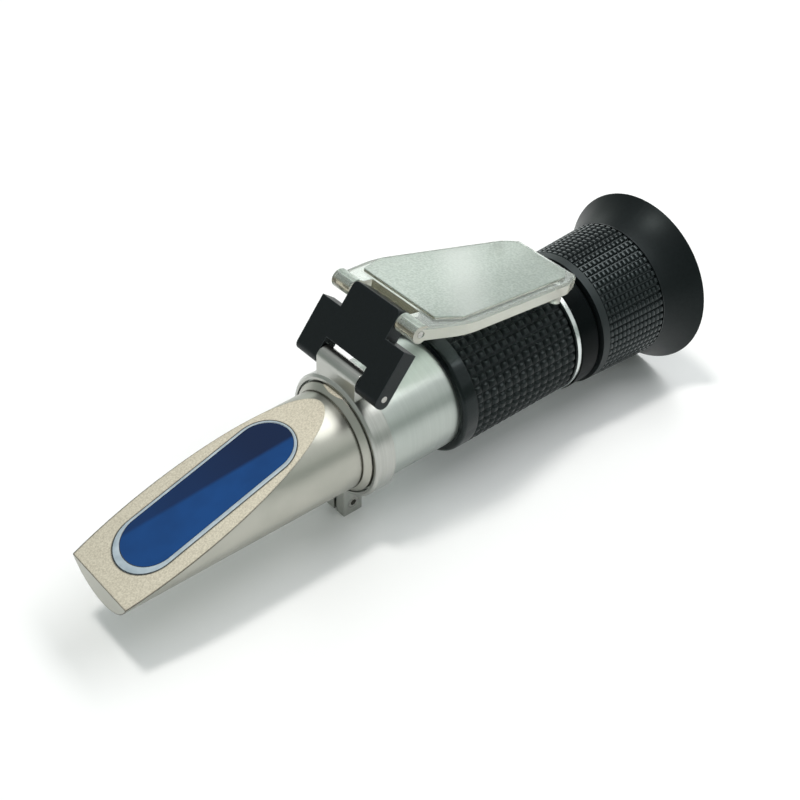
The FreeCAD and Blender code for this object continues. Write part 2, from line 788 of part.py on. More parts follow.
def makeEyepieceBarrel():
    body = newBody("eyepiece_barrel")
    frictionGroove = sleeveRadius - d.friction_ring_depth
    frictionEnd = frictionX + d.friction_ring_width
    snapGroove = sleeveRadius - d.snap_ring_depth
    snapEnd = snapRingX + d.snap_ring_width
    cellWay = cellRadius + d.running_fit
    throat = innerFit - d.barrel_spigot_wall
    barrel = revolve(body, [
        (barrelFront - d.barrel_spigot_length, throat),
        (sleeveStart, throat), (sleeveStart, cellWay), (sleeveEnd, cellWay),
        (sleeveEnd, sleeveRadius), (snapEnd, sleeveRadius), (snapEnd, snapGroove),
        (snapRingX, snapGroove), (snapRingX, sleeveRadius),
        (frictionEnd, sleeveRadius), (frictionEnd, frictionGroove),
        (frictionX, frictionGroove), (frictionX, sleeveRadius),
        (sleeveStart, sleeveRadius), (sleeveStart, collarRadius),
        (barrelFront, collarRadius), (barrelFront, innerFit),
        (barrelFront - d.barrel_spigot_length, innerFit)])
    roundEdges(body, barrel, d.collar_bevel, circleEdge(collarRadius, sleeveStart), "Chamfer")
    pinHole = drawCircle(newSketch(body, "XY_Plane"), (guidePinX, zero), d.guide_pin_radius)
    pad(body, pinHole, sleeveRadius * 1.1, kind="Pocket")


def makeGuidePin():
    inner = cellBore + d.groove_fit
    pin = cylinder("guide_pin", (guidePinX, zero, -(sleeveRadius - d.seat_fit)),
                   d.guide_pin_radius, sleeveRadius - d.seat_fit - inner, Vector(0, 0, 1))
    parts.append(pin)


def makeFocusRings():
    """A flat nylon ring that drags on the focusing ring, and the snap ring that keeps it on."""
    tube("friction_ring", frictionX, d.friction_ring_width, sleeveRadius,
         sleeveRadius - d.friction_ring_depth)
    tube("snap_ring", snapRingX, d.snap_ring_width, sleeveRadius + d.snap_ring_depth,
         sleeveRadius - d.snap_ring_depth)


def makeFocusRing():
    body = newBody("focus_ring")
    bore = sleeveRadius + d.running_fit
    groove = sleeveRadius + d.snap_ring_depth + d.groove_fit
    grooveFront = snapRingX - d.groove_fit
    grooveRear = snapRingX + d.snap_ring_width + d.groove_fit
    web = sleeveEnd + d.groove_fit
    thread = cellRadius + d.running_fit
    ring = revolve(body, [
        (focusFront, bore), (grooveFront, bore), (grooveFront, groove), (grooveRear, groove),
        (grooveRear, bore), (web, bore), (web, thread),
        (cupFloor, thread), (cupFloor, focusSpigotRadius),
        (focusEnd, focusSpigotRadius), (focusEnd, focusRearRadius),
        (focusFront, focusFrontRadius)])
    roundEdges(body, ring, d.groove_fit, circleEdge(focusFrontRadius, focusFront), "Chamfer")


def makeEyecup():
    """Soft flared cup pushed over the focusing ring's spigot, open towards the eye."""
    body = newBody("eyecup")
    rear = focusEnd + d.cup_length
    middle = focusEnd + d.cup_length / 2
    flare = (focusRearRadius + rimRadius) / 2 - d.cup_lip
    revolve(body, [
        (focusEnd, focusSpigotRadius), (cupFloor, focusSpigotRadius),
        (cupFloor, focusSpigotRadius + d.cup_wall), (rear, rimRadius - d.cup_lip),
        (rear, rimRadius), (middle, flare, "arc"), (focusEnd, focusRearRadius)])


def makeLensCell():
    """Sliding cell with a front lip and a slot that runs along the guide pin."""
    body = newBody("lens_cell")
    lip = cellStart + d.cell_lip_width
    revolve(body, [(cellStart, cellBore - d.cell_lip), (lip, cellBore - d.cell_lip),
                   (lip, cellBore), (cellEnd, cellBore),
                   (cellEnd, cellRadius), (cellStart, cellRadius)])
    slot = drawOutline(newSketch(body, "XY_Plane"),
                       obround(guidePinX - slotReach, guidePinX + slotReach,
                               d.guide_pin_radius + d.running_fit))
    pad(body, slot, cellRadius * 1.1, kind="Pocket")


def makeEyepieceOptics():
    """Field lens, spacer, eye lens and retainer. Each ring rests on the bulge of its lens."""
    radius = cellBore - d.seat_fit
    field = cellStart + d.cell_lip_width
    spacer = field + d.field_lens_edge + seatOf(radius, d.field_lens_bulge)
    seat = seatOf(radius, d.eye_lens_bulge)
    retainer = cellEnd - d.cell_recess - d.retainer_width
    eye = retainer - seat - d.eye_lens_edge
    makeLens("field_lens", field, d.field_lens_edge, radius, zero, d.field_lens_bulge)
    tube("lens_spacer", spacer, eye - seat - spacer, radius, radius - d.cell_lip)
    makeLens("eye_lens", eye, d.eye_lens_edge, radius, d.eye_lens_bulge, d.eye_lens_bulge)
    tube("eye_lens_retainer", retainer, d.retainer_width, radius, radius - d.cell_lip)


makePrismHousing()
makePrism()
makePrismSeal()
makeClampRing()
makeClampScrew()
makeHingeLink()
makeHingePins()
makeDaylightPlate()
makeMainTube()
makeSetScrews()
makeGripSleeve()
tube("tube_end_ring", gripEnd, d.end_ring_width, endRingRadius, tubeBore + d.seat_fit)
makeObjective()
makeReticle()
makeEyepieceBarrel()
makeGuidePin()
makeFocusRings()
makeFocusRing()
makeEyecup()
makeLensCell()
makeEyepieceOptics()

# the origin lies on the surface the instrument rests on, under the middle of its length
middleX = (focusEnd + d.cup_length) / 2
for part in parts:
    for path, shift in (("Placement.Base.x", -middleX), ("Placement.Base.z", rimRadius)):
        places = [text for name, text in part.ExpressionEngine if name.endswith(path)]
        tie(part, path, Size(0, f"{places[0] if places else 0} + {shift.formula}"))
doc.recompute()

# ---- checks and files --------------------------------------------------------------------

for item in doc.Objects:
    if "Invalid" in item.State or "Error" in item.State:
        raise RuntimeError(f"{item.Label} failed: {item.State}")
os.makedirs("parts", exist_ok=True)
for part in parts:
    if part.Shape.isNull() or not part.Shape.isValid() or len(part.Shape.Solids) < 1:
        raise RuntimeError(f"{part.Label} has no valid solid")
    part.Shape.exportStep(f"parts/{part.Label}.step")
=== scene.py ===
import math

import bpy
import numpy as np
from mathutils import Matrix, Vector


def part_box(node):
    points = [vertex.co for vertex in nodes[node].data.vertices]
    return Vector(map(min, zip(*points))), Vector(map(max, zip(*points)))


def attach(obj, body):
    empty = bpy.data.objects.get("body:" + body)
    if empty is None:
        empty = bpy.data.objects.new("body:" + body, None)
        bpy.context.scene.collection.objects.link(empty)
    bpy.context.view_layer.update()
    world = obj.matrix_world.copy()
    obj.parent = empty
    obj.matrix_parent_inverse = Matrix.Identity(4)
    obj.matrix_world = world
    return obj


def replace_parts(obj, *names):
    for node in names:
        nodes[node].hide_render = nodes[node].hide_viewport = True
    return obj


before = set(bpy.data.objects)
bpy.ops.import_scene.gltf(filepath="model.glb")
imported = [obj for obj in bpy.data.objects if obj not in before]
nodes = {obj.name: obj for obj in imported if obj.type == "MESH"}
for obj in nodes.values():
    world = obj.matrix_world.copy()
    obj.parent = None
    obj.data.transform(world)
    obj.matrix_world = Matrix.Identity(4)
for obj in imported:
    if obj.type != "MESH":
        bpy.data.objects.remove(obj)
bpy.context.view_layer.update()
print("frame loaded:", len(nodes), "nodes")

mm = 0.001                                   # one millimetre in scene metres
bumpHeight = 0.1 * mm                        # height that a bump strength of 1 stands for
tubeLow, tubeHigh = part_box("main_tube")
axisHeight = (tubeLow.z + tubeHigh.z) / 2    # height of the optical axis


def linearColour(hexText):
    # sRGB hex to the linear colour that the shaders take
    parts = [int(hexText[i:i + 2], 16) / 255 for i in (1, 3, 5)]
    linear = [c / 12.92 if c <= 0.04045 else ((c + 0.055) / 1.055) ** 2.4 for c in parts]
    return (*linear, 1.0)


def addNode(material, kind, settings=None, links=None):
    # one shader node: settings go to its properties or sockets, links are {input: (node, output)}
    node = material.node_tree.nodes.new("ShaderNode" + kind)
    for name, value in (settings or {}).items():
        if name == "stops":                  # a colour ramp's places with their hex colours
            elements = node.color_ramp.elements
            while len(elements) < len(value):
                elements.new(0.5)
            for element, (place, colour) in zip(elements, value):
                element.position = place
                element.color = linearColour(colour)
        elif isinstance(name, int) or name in node.inputs:
            node.inputs[name].default_value = value
        else:
            setattr(node, name, value)
    for name, (source, output) in (links or {}).items():
        material.node_tree.links.new(source.outputs[output], node.inputs[name])
    return node


def newMaterial(name, surface=None):
    # a material with one Principled shader, whose sockets are set from a dictionary
    material = bpy.data.materials.new(name)
    material.use_nodes = True
    shader = material.node_tree.nodes["Principled BSDF"]
    for socket, value in (surface or {}).items():
        shader.inputs[socket].default_value = value
    return material, shader


def plug(material, shader, sockets):
    # links nodes into the shader: {socket: (node, output)}
    for socket, (source, output) in sockets.items():
        material.node_tree.links.new(source.outputs[output], shader.inputs[socket])


def giveMaterial(names, material):
    for name in names:
        mesh = nodes[name].data
        mesh.materials.clear()
        mesh.materials.append(material)


def alongAxis(node):
    # where a node begins and ends along the axis, in mm
    low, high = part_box(node)
    return low.x / mm, high.x / mm


def newPiece(name, vertices, faces, body, material):
    # a mesh that moves with a body and takes a node's place
    mesh = bpy.data.meshes.new(name)
    mesh.from_pydata(vertices, [], faces)
    mesh.materials.append(material)
    mesh.validate()
    mesh.update()
    piece = bpy.data.objects.new(name, mesh)
    bpy.context.scene.collection.objects.link(piece)
    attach(piece, body)
    return piece


tubeLook = {
    "colour": "#B3B9B4", "shade": "#AEB4AF",
    "roughness": 0.34,
    "grooveSpacing": 0.35,     # mm, coarser than a lathe's real feed so that the rings show
    "grooveLength": 71.4,      # mm round the tube before a ring changes
    "cloudSize": 9.09,         # mm, faint unevenness of the anodising
    "grooveDepth": 0.025,      # as bump strength
    "edgeRounding": 0.15,      # mm
}


def makeTurnedAluminium(name, look):
    # aluminium turned on a lathe and satin anodised: fine rings round the axis blur its reflections
    material, shader = newMaterial(name, {"Metallic": 1.0, "Roughness": look["roughness"]})
    place = addNode(material, "TexCoord")
    perMetre = 1 / (look["grooveLength"] * mm)
    stretch = addNode(material, "Mapping",
                      {"Scale": (1 / (look["grooveSpacing"] * mm), perMetre, perMetre)},
                      {"Vector": (place, "Object")})
    rings = addNode(material, "TexNoise", {"Scale": 1.0, "Detail": 2.0},
                    {"Vector": (stretch, "Vector")})
    cloud = addNode(material, "TexNoise", {"Scale": 1 / (look["cloudSize"] * mm), "Detail": 4.0},
                    {"Vector": (place, "Object")})
    blend = addNode(material, "Math", {"operation": "ADD"}, {0: (rings, "Fac"), 1: (cloud, "Fac")})
    mottle = addNode(material, "MapRange", {"From Min": 0.6, "From Max": 1.4},
                     {"Value": (blend, "Value")})
    tone = addNode(material, "ValToRGB", {"stops": [(0.25, look["shade"]), (0.75, look["colour"])]},
                   {"Fac": (mottle, "Result")})
    edge = addNode(material, "Bevel", {"samples": 6, "Radius": look["edgeRounding"] * mm})
    bump = addNode(material, "Bump", {"Strength": look["grooveDepth"], "Distance": bumpHeight},
                   {"Height": (rings, "Fac"), "Normal": (edge, "Normal")})
    plug(material, shader, {"Base Color": (tone, "Color"), "Normal": (bump, "Normal")})
    return material


giveMaterial(["main_tube"], makeTurnedAluminium("satin anodised aluminium", tubeLook))
# the milled clamp is a little warmer and shinier, and the end ring catches the light as a pale line
clampLook = dict(tubeLook, colour="#B9BAB5", shade="#ACADA8", roughness=0.30, edgeRounding=0.3)
giveMaterial(["clamp_ring"], makeTurnedAluminium("satin milled aluminium", clampLook))
endRingLook = dict(tubeLook, colour="#DADFDD", shade="#CCD2D0", roughness=0.24)
giveMaterial(["tube_end_ring"], makeTurnedAluminium("bright anodised aluminium", endRingLook))


housingLook = {
    # the last colour here is painted shade along the sharp edges
    "colour": "#B6B5AC", "shade": "#AAAAA1", "edgeShade": "#4E4A42",
    "roughness": 0.36,
    "faceColour": "#DDD7C7", "faceShade": "#C2BBAA",
    "faceRoughness": 0.62,
    "faceLean": 16.73,         # degrees between the slanted face and the axis
    "faceEdge": (0.990, 0.999),           # cosine to the face's direction: side below, face above
    "gritSize": 0.20,          # mm, coarser than real bead-blast pits so that they show
    "gritDepth": 0.35, "grooveDepth": 0.10,       # as bump strength, on the face and on the sides
    # mm: rings coarser than a lathe's real feed so that they show, and the anodising's unevenness
    "grooveSpacing": 0.357, "grooveLength": 83.3, "cloudSize": 12.5,
    "edgeRounding": 0.22, "edgeShadeWidth": 0.7,   # mm
    "edgeBend": (0.985, 0.90),            # cosines where an edge's painted shade starts and is full
    "edgeDarkness": 0.85,
}


def makeHousingMaterial(look):
    # turned aluminium whose slanted face is blasted with glass beads: matt, champagne and speckled
    material, shader = newMaterial("turned and bead-blasted aluminium", {"Metallic": 1.0})
    place = addNode(material, "TexCoord")
    lean = math.radians(look["faceLean"])
    faceUp = (-math.sin(lean), 0, math.cos(lean))
    facing = addNode(material, "VectorMath", {"operation": "DOT_PRODUCT", 1: faceUp},
                     {0: (place, "Normal")})
    sideEnd, faceStart = look["faceEdge"]
    onFace = addNode(material, "MapRange", {"From Min": sideEnd, "From Max": faceStart},
                     {"Value": (facing, "Value")})
    grit = addNode(material, "TexNoise",       # two grains to each cell of the noise
                   {"Scale": 0.5 / (look["gritSize"] * mm), "Detail": 3.0, "Roughness": 0.7},
                   {"Vector": (place, "Object")})
    speckle = addNode(material, "ValToRGB",
                      {"stops": [(0.34, look["faceShade"]), (0.62, look["faceColour"])]},
                      {"Fac": (grit, "Fac")})
    cloud = addNode(material, "TexNoise", {"Scale": 1 / (look["cloudSize"] * mm), "Detail": 4.0},
                    {"Vector": (place, "Object")})
    side = addNode(material, "ValToRGB", {"stops": [(0.3, look["shade"]), (0.7, look["colour"])]},
                   {"Fac": (cloud, "Fac")})
    surface = addNode(material, "Mix", {"data_type": "RGBA"},
                      {0: (onFace, "Result"), 6: (side, "Color"), 7: (speckle, "Color")})
    # painted shade along every sharp edge: a dark line where the rounded direction leaves the
    # surface's own
    flat = addNode(material, "NewGeometry")
    rounded = addNode(material, "Bevel", {"samples": 8, "Radius": look["edgeShadeWidth"] * mm})
    bend = addNode(material, "VectorMath", {"operation": "DOT_PRODUCT"},
                   {0: (rounded, "Normal"), 1: (flat, "Normal")})
    lineStart, lineFull = look["edgeBend"]
    nearEdge = addNode(material, "MapRange",
                       {"From Min": lineStart, "From Max": lineFull, "To Max": look["edgeDarkness"]},
                       {"Value": (bend, "Value")})
    tone = addNode(material, "Mix", {"data_type": "RGBA", 7: linearColour(look["edgeShade"])},
                   {0: (nearEdge, "Result"), 6: (surface, 2)})
    rough = addNode(material, "MapRange",
                    {"To Min": look["roughness"], "To Max": look["faceRoughness"]},
                    {"Value": (onFace, "Result")})
    perMetre = 1 / (look["grooveLength"] * mm)
    stretch = addNode(material, "Mapping",
                      {"Scale": (1 / (look["grooveSpacing"] * mm), perMetre, perMetre)},
                      {"Vector": (place, "Object")})
    rings = addNode(material, "TexNoise", {"Scale": 1.0, "Detail": 2.0},
                    {"Vector": (stretch, "Vector")})
    pits = addNode(material, "Mix", {"data_type": "FLOAT"},
                   {0: (onFace, "Result"), 2: (rings, "Fac"), 3: (grit, "Fac")})
    depth = addNode(material, "MapRange",
                    {"To Min": look["grooveDepth"], "To Max": look["gritDepth"]},
                    {"Value": (onFace, "Result")})
    edge = addNode(material, "Bevel", {"samples": 6, "Radius": look["edgeRounding"] * mm})
    bump = addNode(material, "Bump", {"Distance": bumpHeight},
                   {"Height": (pits, 0), "Strength": (depth, "Result"), "Normal": (edge, "Normal")})
    plug(material, shader, {"Base Color": (tone, 2), "Roughness": (rough, "Result"),
                            "Normal": (bump, "Normal")})
    return material


giveMaterial(["prism_housing"], makeHousingMaterial(housingLook))
print("aluminium parts finished")


prismLook = {
    "blue": "#0E437F", "deepBlue": "#0B3C73", "navy": "#0A2043",
    "bandStart": -10.6,        # mm to the left, where the painted darker band would begin half-way along
    "bandSlope": 0.212,        # how far that edge moves over to the right for each mm to the rear
    "bandWidth": 1.3,          # mm over which the edge fades
    "paleEnd": -76.0, "darkEnd": -42.0,   # mm along, between which the band deepens
    "paleShare": 0.55,         # how strong the band is at its pale end
    "cloudSize": 7.14,         # mm
}


def makePrismMaterial(look):
    # polished optical glass over a dark well: deep blue, with a navy band painted where the far wall
    # would show through
    material, shader = newMaterial("polished blue prism glass", {
        "Roughness": 0.05, "IOR": 1.52, "Specular IOR Level": 0.3})
    place = addNode(material, "TexCoord")
    axes = addNode(material, "SeparateXYZ", {}, {"Vector": (place, "Object")})
    shift = addNode(material, "Math", {"operation": "MULTIPLY", 1: look["bandSlope"]},
                    {0: (axes, "X")})
    across = addNode(material, "Math", {"operation": "ADD"}, {0: (axes, "Y"), 1: (shift, "Value")})
    bandEnd = look["bandStart"] + look["bandWidth"]
    band = addNode(material, "MapRange",
                   {"interpolation_type": "SMOOTHSTEP", "From Min": look["bandStart"] * mm,
                    "From Max": bandEnd * mm}, {"Value": (across, "Value")})
    deepening = addNode(material, "MapRange",
                        {"From Min": look["paleEnd"] * mm, "From Max": look["darkEnd"] * mm,
                         "To Min": look["paleShare"]}, {"Value": (axes, "X")})
    dark = addNode(material, "Math", {"operation": "MULTIPLY"},
                   {0: (band, "Result"), 1: (deepening, "Result")})
    cloud = addNode(material, "TexNoise", {"Scale": 1 / (look["cloudSize"] * mm), "Detail": 2.0},
                    {"Vector": (place, "Object")})
    blue = addNode(material, "ValToRGB", {"stops": [(0.3, look["deepBlue"]), (0.7, look["blue"])]},
                   {"Fac": (cloud, "Fac")})
    # painted shade: the navy band stands in for the dark far wall seen through the glass
    tone = addNode(material, "Mix", {"data_type": "RGBA", 7: linearColour(look["navy"])},
                   {0: (dark, "Value"), 6: (blue, "Color")})
    plug(material, shader, {"Base Color": (tone, 2)})
    return material


giveMaterial(["prism"], makePrismMaterial(prismLook))

beadLook = {
    # line and its blotches are painted shade in the joints at the bead's edges
    "colour": "#B4C0C8", "shade": "#9DABB4", "line": "#2C3338", "lineBlotch": "#4A5257",
    "roughness": 0.42, "unevenness": 2.5, "blotchSize": 1.111,     # mm
    "faceHeight": -5.56,       # mm from the axis to the foot of the slanted face, at the nose tip
    "pocket": (5.0, 53.5, -8.2, 8.2),     # the face's pocket: front, rear, right and left, in mm
    "prism": (6.5, 52.9, -7.5, 7.5),
    "inner": (7.2, 52.9, -6.95, 7.4),     # how far the sealant runs up over the prism
    # across the bead from the pocket's wall to the prism: share of the way, mm above the face
    "profile": [(0.0, 0.005), (0.14, 0.01), (0.3, 0.08), (0.5, 0.11), (0.72, 0.09), (0.9, 0.03),
                (1.0, 0.01)],
    "prismLift": 0.004,        # mm, where the bead meets the prism's rim
    "depth": 1.6,              # mm down into the pocket
    "arcSteps": 28,            # to each half-round end
}


def slotOutline(size, steps):
    # points round a slot with half-round ends, in mm on the slanted face
    front, rear, right, left = size
    half, middle = (left - right) / 2, (left + right) / 2
    points = []
    for centre, start in ((rear - half, -90), (front + half, 90)):
        for k in range(steps + 1):
            turn = math.radians(start + 180 * k / steps)
            points.append((centre + half * math.cos(turn), middle + half * math.sin(turn)))
    return np.array(points)


def makeBeadMaterial(look):
    # cured silicone sealant: slightly cloudy, smooth and faintly uneven
    material, shader = newMaterial("cured silicone sealant", {
        "Roughness": look["roughness"], "IOR": 1.41})
    place = addNode(material, "TexCoord")
    cloud = addNode(material, "TexNoise", {"Scale": 1 / (look["unevenness"] * mm), "Detail": 2.0},
                    {"Vector": (place, "Object")})
    tone = addNode(material, "ValToRGB", {"stops": [(0.3, look["shade"]), (0.7, look["colour"])]},
                   {"Fac": (cloud, "Fac")})
    bump = addNode(material, "Bump", {"Strength": 0.15, "Distance": 2 * bumpHeight},
                   {"Height": (cloud, "Fac")})
    plug(material, shader, {"Base Color": (tone, "Color"), "Normal": (bump, "Normal")})
    return material


def makeJointShade(look):
    # painted shade in the joint at the sealant's edges: dark and dull, in uneven blotches
    material, shader = newMaterial("painted joint shade", {
        "Roughness": 0.7, "IOR": 1.45, "Specular IOR Level": 0.2})
    place = addNode(material, "TexCoord")
    blotches = addNode(material, "TexNoise", {"Scale": 1 / (look["blotchSize"] * mm), "Detail": 2.0},
                   {"Vector": (place, "Object")})
    tone = addNode(material, "ValToRGB", {"stops": [(0.3, look["line"]), (0.7, look["lineBlotch"])]},
                   {"Fac": (blotches, "Fac")})
    plug(material, shader, {"Base Color": (tone, "Color")})
    return material


def makeBead(look):
    pocket, prism, inner = [slotOutline(look[name], look["arcSteps"])
                            for name in ("pocket", "prism", "inner")]
    loops = [(pocket + (inner - pocket) * share, rise) for share, rise in look["profile"]]
    loops += [(prism, look["prismLift"]), (prism, -look["depth"]), (pocket, -look["depth"])]
    lean = math.radians(housingLook["faceLean"])
    tipX, foot = alongAxis("prism_housing")[0], look["faceHeight"]
    vertices = []
    for points, rise in loops:
        for up, across in points:             # mm up the slanted face, and to the left
            x = tipX + up * math.cos(lean) - rise * math.sin(lean)
            z = foot + up * math.sin(lean) + rise * math.cos(lean)
            vertices.append((x * mm, across * mm, z * mm + axisHeight))
    size = len(pocket)
    faces = []
    for row in range(len(loops)):
        here, after = row * size, (row + 1) % len(loops) * size
        for k in range(size):
            n = (k + 1) % size
            faces.append((here + k, after + k, after + n, here + n))
    bead = newPiece("bead_skin", vertices, faces, "frame", makeBeadMaterial(look))
    bead.data.materials.append(makeJointShade(look))
    strips = len(look["profile"]) - 1         # strips of the bead's top; the outer two carry the painted joint shade
    for index, polygon in enumerate(bead.data.polygons):
        strip = index // size
        polygon.use_smooth = strip < strips
        polygon.material_index = 1 if strip in (0, strips - 1) else 0
    return bead


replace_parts(makeBead(beadLook), "prism_seal")
print("prism finished")


# in the black finishes grain, edgeRounding and lipFade are in mm, bump is a strength, edgeBend holds
# cosines and the edge highlight share is how far the painted highlight lightens a rounded edge
linkLook = {
    "colour": "#0B0D0F", "light": "#101316", "roughness": 0.42, "gloss": 0.3, "grain": 0.12,
    "bump": 0.1, "edgeRounding": 0.35, "edgeHighlight": 0.6,
}
# the second colour here is a painted highlight for rounded edges
blackFinish = {"reflectionTint": "#E2F1F2", "highlightColour": "#5A6062", "edgeBend": (0.97, 0.85), "lipFade": 0.2}


def makeBlackFinish(name, look):
    # plastic, rubber, enamel or dyed oxide: near black, with a faint grain and a painted cool tint
    # on its reflections
    material, shader = newMaterial(name, {
        "IOR": 1.49, "Specular IOR Level": look["gloss"],
        # painted sheen: a cool tint on the reflections, standing in for the room's light
        "Specular Tint": linearColour(blackFinish["reflectionTint"])})
    place = addNode(material, "TexCoord")
    grain = addNode(material, "TexNoise",      # four grains to each cell of the noise
                    {"Scale": 0.25 / (look["grain"] * mm), "Detail": 2.0},
                    {"Vector": (place, "Object")})
    body = addNode(material, "ValToRGB", {"stops": [(0.3, look["colour"]), (0.75, look["light"])]},
                   {"Fac": (grain, "Fac")})
    edge = addNode(material, "Bevel", {"samples": 6, "Radius": look.get("edgeRounding", 0.1) * mm})
    bump = addNode(material, "Bump", {"Strength": look["bump"], "Distance": bumpHeight},
                   {"Height": (grain, "Fac"), "Normal": (edge, "Normal")})
    tone, output = body, "Color"
    if "edgeHighlight" in look:                        # painted highlight: rounded edges a little lighter
        flat = addNode(material, "NewGeometry")
        bend = addNode(material, "VectorMath", {"operation": "DOT_PRODUCT"},
                       {0: (edge, "Normal"), 1: (flat, "Normal")})
        highlightStart, highlightFull = blackFinish["edgeBend"]
        onHighlight = addNode(material, "MapRange",
                       {"From Min": highlightStart, "From Max": highlightFull, "To Max": look["edgeHighlight"]},
                       {"Value": (bend, "Value")})
        tone = addNode(material, "Mix",
                       {"data_type": "RGBA", 7: linearColour(blackFinish["highlightColour"])},
                       {0: (onHighlight, "Result"), 6: (body, "Color")})
        output = 2
    if "lipEnd" in look:                      # the smooth lip before the knobs has its own polish
        along = addNode(material, "SeparateXYZ", {}, {"Vector": (place, "Object")})
        fadeEnd = look["lipEnd"] + blackFinish["lipFade"]
        rough = addNode(material, "MapRange",
                        {"From Min": look["lipEnd"] * mm, "From Max": fadeEnd * mm,
                         "To Min": look["lipRoughness"], "To Max": look["roughness"]},
                        {"Value": (along, "X")})
        plug(material, shader, {"Roughness": (rough, "Result")})
    else:
        shader.inputs["Roughness"].default_value = look["roughness"]
    plug(material, shader, {"Base Color": (tone, output), "Normal": (bump, "Normal")})
    return material


giveMaterial(["hinge_link"], makeBlackFinish("moulded black acetal", linkLook))


steelLook = {
    "colour": "#C4C3BE", "shade": "#93928E", "roughness": 0.25,
    "markSize": 0.4,           # mm, coarser than real grinding marks so that they show
}


def makeGroundSteel(name, look):
    # centreless-ground steel: bright, with fine uneven marks
    material, shader = newMaterial(name, {"Metallic": 1.0, "Roughness": look["roughness"]})
    place = addNode(material, "TexCoord")
    marks = addNode(material, "TexNoise", {"Scale": 1 / (look["markSize"] * mm), "Detail": 2.0},
                    {"Vector": (place, "Object")})
    tone = addNode(material, "ValToRGB", {"stops": [(0.3, look["shade"]), (0.7, look["colour"])]},
                   {"Fac": (marks, "Fac")})
    plug(material, shader, {"Base Color": (tone, "Color")})
    return material


giveMaterial(["lower_hinge_pin", "upper_hinge_pin", "guide_pin", "clamp_screw", "snap_ring",
              "housing_set_screws"], makeGroundSteel("ground steel", steelLook))


plateLook = {
    # the second colour is painted light on the side walls, the third painted shade on the wall
    # towards the hinge
    "clear": "#E4EAE4", "wall": "#F3F0E4", "hingeWallShade": "#A99C7E",
    "frosted": "#AFBCB2", "fleck": "#D6E0D8",
    "roughness": 0.10, "frost": 0.42,
    # share of the light that passes through
    "clearness": 0.84, "wallClearness": 0.62, "padClearness": 0.60,
    "frostGrain": 0.28,        # mm, sparkle of the frosted pad, coarser than real so that it shows
    "smoothBump": 0.04, "frostBump": 0.8,     # as bump strength, off and on the pad
    "band": "#EEF3EE",         # a painted highlight: a soft band across the pad, where it scatters the most light
    "bandWidth": 9.0,          # mm to each side of its middle
    "bandAcross": (0.8, -0.6, 0), "bandStrength": 0.6,
    "lean": 12.175,            # degrees that the open plate leans down towards the eyepiece
    "padRise": 0.7,            # mm
    "padFade": (0.6, 0.3),     # the frost begins between these shares of that rise below its top
    "wallEdge": (0.6, 0.9), "hingeWallEdge": (0.93, 0.98),    # the side walls' painted light and the hinge wall's painted shade begin at these cosines
    "edgeRounding": 0.3,       # mm
}


